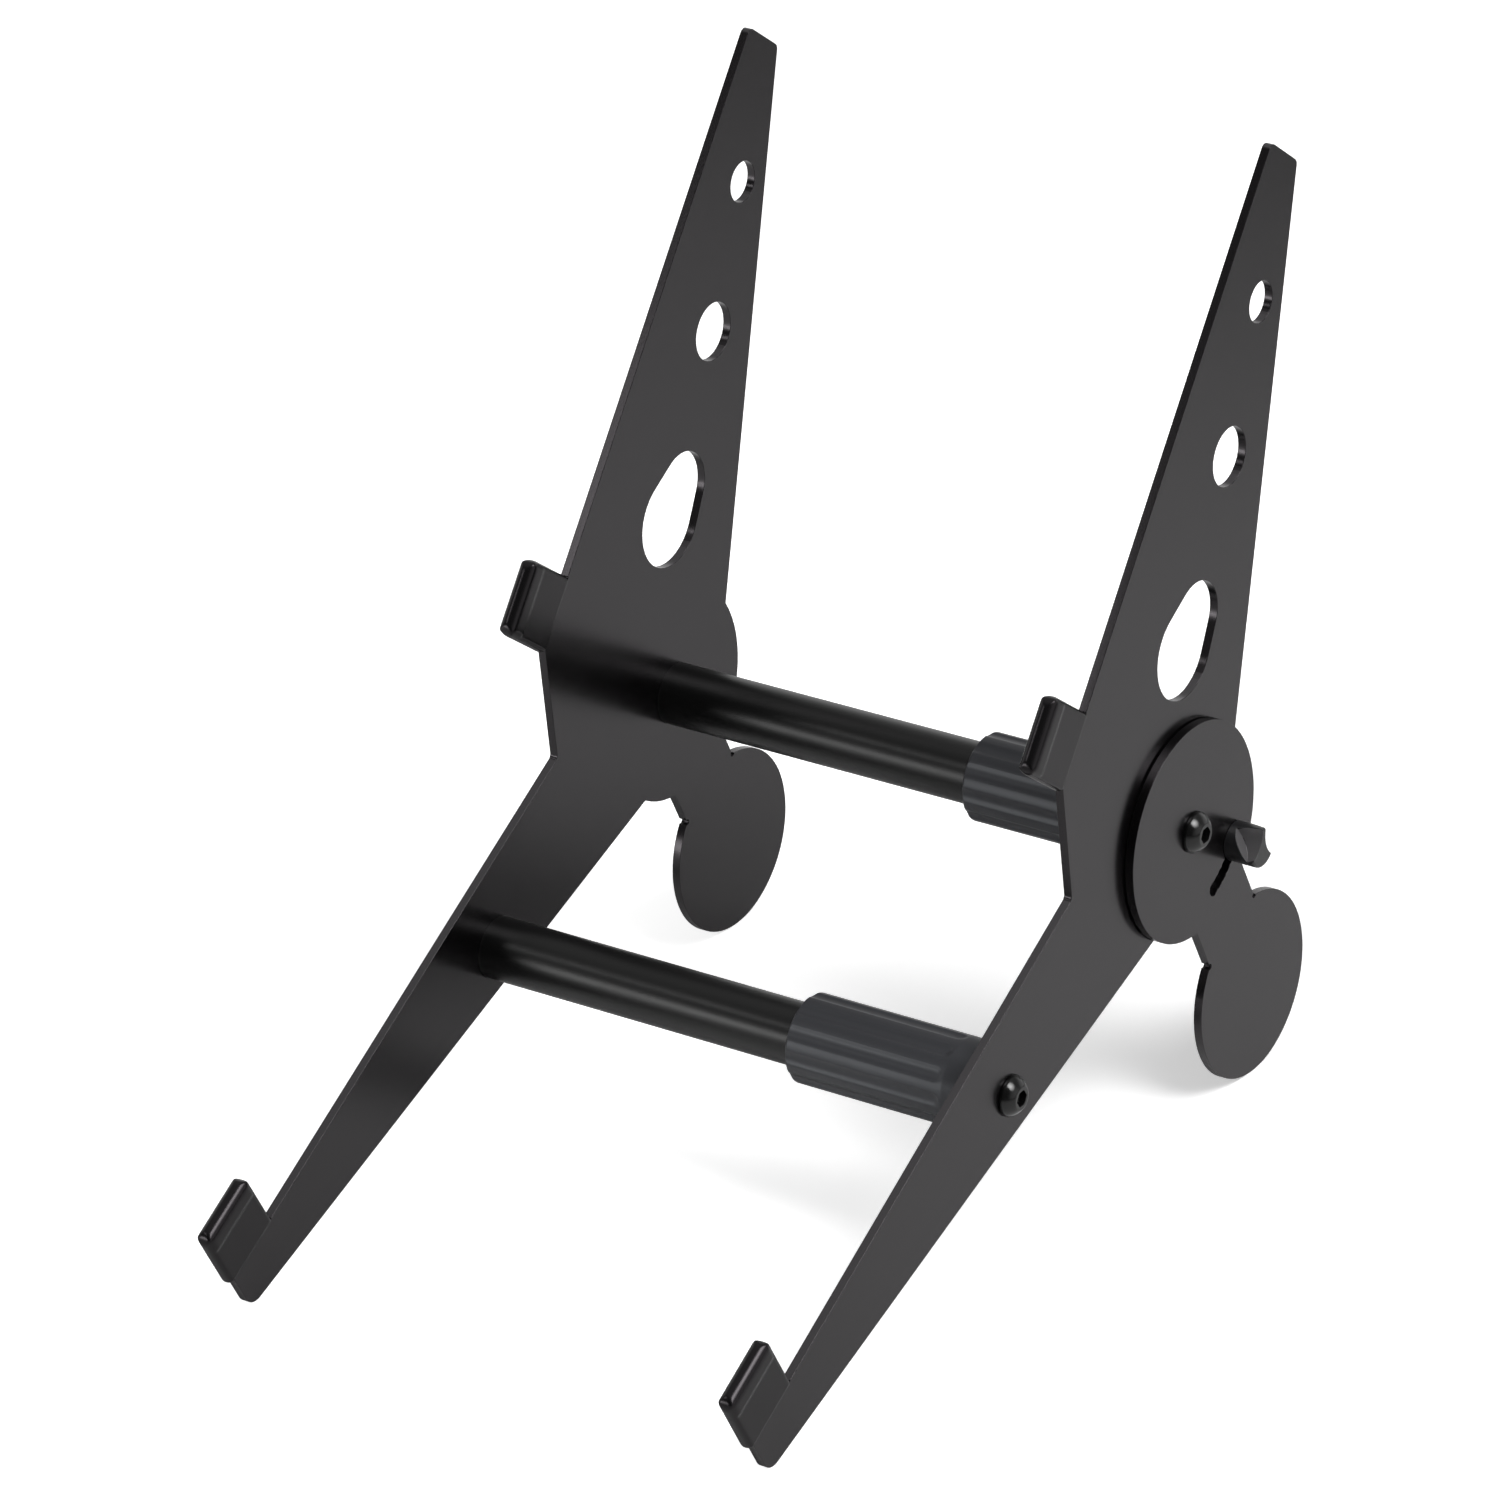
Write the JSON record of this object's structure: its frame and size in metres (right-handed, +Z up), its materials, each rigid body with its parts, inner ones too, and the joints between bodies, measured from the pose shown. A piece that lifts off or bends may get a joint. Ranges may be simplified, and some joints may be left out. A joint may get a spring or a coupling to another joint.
{
  "type": "desktop studio stand",
  "caption": "Adjustable desktop stand: flat steel side frames with capped hooks, joined by telescopic twist-lock tubes, on rear feet that tilt in notches.",
  "frame": {"origin": "on the table, in the middle of the footprint's bounding box", "axes": "+X across the stand to the right side frame, +Y to the back, away from the user, +Z up"},
  "size_m": [0.2322, 0.3508, 0.3223],
  "materials": {
    "plate_coat": "semi-gloss black powder coat",
    "foot_coat": "semi-gloss black powder coat",
    "tube_coat": "satin black enamel",
    "collar_plastic": "moulded, slightly bluish black",
    "knob_plastic": "moulded black",
    "hook_rubber": "dipped soft black rubber",
    "screw_black": "glossy black",
    "bare_steel": "zinc plated",
    "insert_brass": "turned and knurled",
    "wear_plastic": "smooth low-friction plastic"
  },
  "bodies": {
    "left_side": {"left_side_plate": "plate_coat", "left_friction_disc": "wear_plastic", "left_pivot_screw": "screw_black", "left_lower_screw": "screw_black", "left_knob_stud": "bare_steel", "upper_inner_tube": "tube_coat", "lower_inner_tube": "tube_coat", "upper_left_plug": "bare_steel", "lower_left_plug": "bare_steel", "upper_guide_plug": "wear_plastic", "lower_guide_plug": "wear_plastic", "left_upper_cap": "hook_rubber", "left_lower_cap": "hook_rubber"},
    "right_side": {"right_side_plate": "plate_coat", "right_friction_disc": "wear_plastic", "right_pivot_screw": "screw_black", "right_lower_screw": "screw_black", "right_knob_stud": "bare_steel", "upper_outer_tube": "tube_coat", "lower_outer_tube": "tube_coat", "upper_right_plug": "bare_steel", "lower_right_plug": "bare_steel", "upper_clamp_collet": "wear_plastic", "lower_clamp_collet": "wear_plastic", "right_upper_cap": "hook_rubber", "right_lower_cap": "hook_rubber"},
    "left_foot": {"left_rear_foot": "foot_coat"},
    "right_foot": {"right_rear_foot": "foot_coat"},
    "left_knob": {"left_wing_knob": "knob_plastic", "left_knob_insert": "insert_brass"},
    "right_knob": {"right_wing_knob": "knob_plastic", "right_knob_insert": "insert_brass"},
    "upper_collar": {"upper_lock_collar": "collar_plastic"},
    "lower_collar": {"lower_lock_collar": "collar_plastic"}
  },
  "joints": [
    {"name": "width_slide", "type": "slide", "parent": "left_side", "child": "right_side", "axis": [1, 0, 0], "range_m": [-0.02, 0.02]},
    {"name": "left_foot_tilt", "type": "hinge", "parent": "left_side", "child": "left_foot", "pos_m": [-0.10205, 0.09601, 0.10539], "axis": [1, 0, 0], "range_deg": [0, 36]},
    {"name": "right_foot_tilt", "type": "hinge", "parent": "right_side", "child": "right_foot", "pos_m": [0.10205, 0.09601, 0.10539], "axis": [1, 0, 0], "range_deg": [0, 36]},
    {"name": "left_knob_turn", "type": "hinge", "parent": "left_side", "child": "left_knob", "pos_m": [-0.1081, 0.12041, 0.09067], "axis": [-1, 0, 0], "range_deg": [0, 360]},
    {"name": "right_knob_turn", "type": "hinge", "parent": "right_side", "child": "right_knob", "pos_m": [0.1081, 0.12041, 0.09067], "axis": [1, 0, 0], "range_deg": [0, 360]},
    {"name": "upper_collar_twist", "type": "hinge", "parent": "right_side", "child": "upper_collar", "pos_m": [0.03897, 0.09601, 0.10539], "axis": [1, 0, 0], "range_deg": [0, 90]},
    {"name": "lower_collar_twist", "type": "hinge", "parent": "right_side", "child": "lower_collar", "pos_m": [0.03897, -0.01242, 0.06102], "axis": [1, 0, 0], "range_deg": [0, 90]}
  ]
}
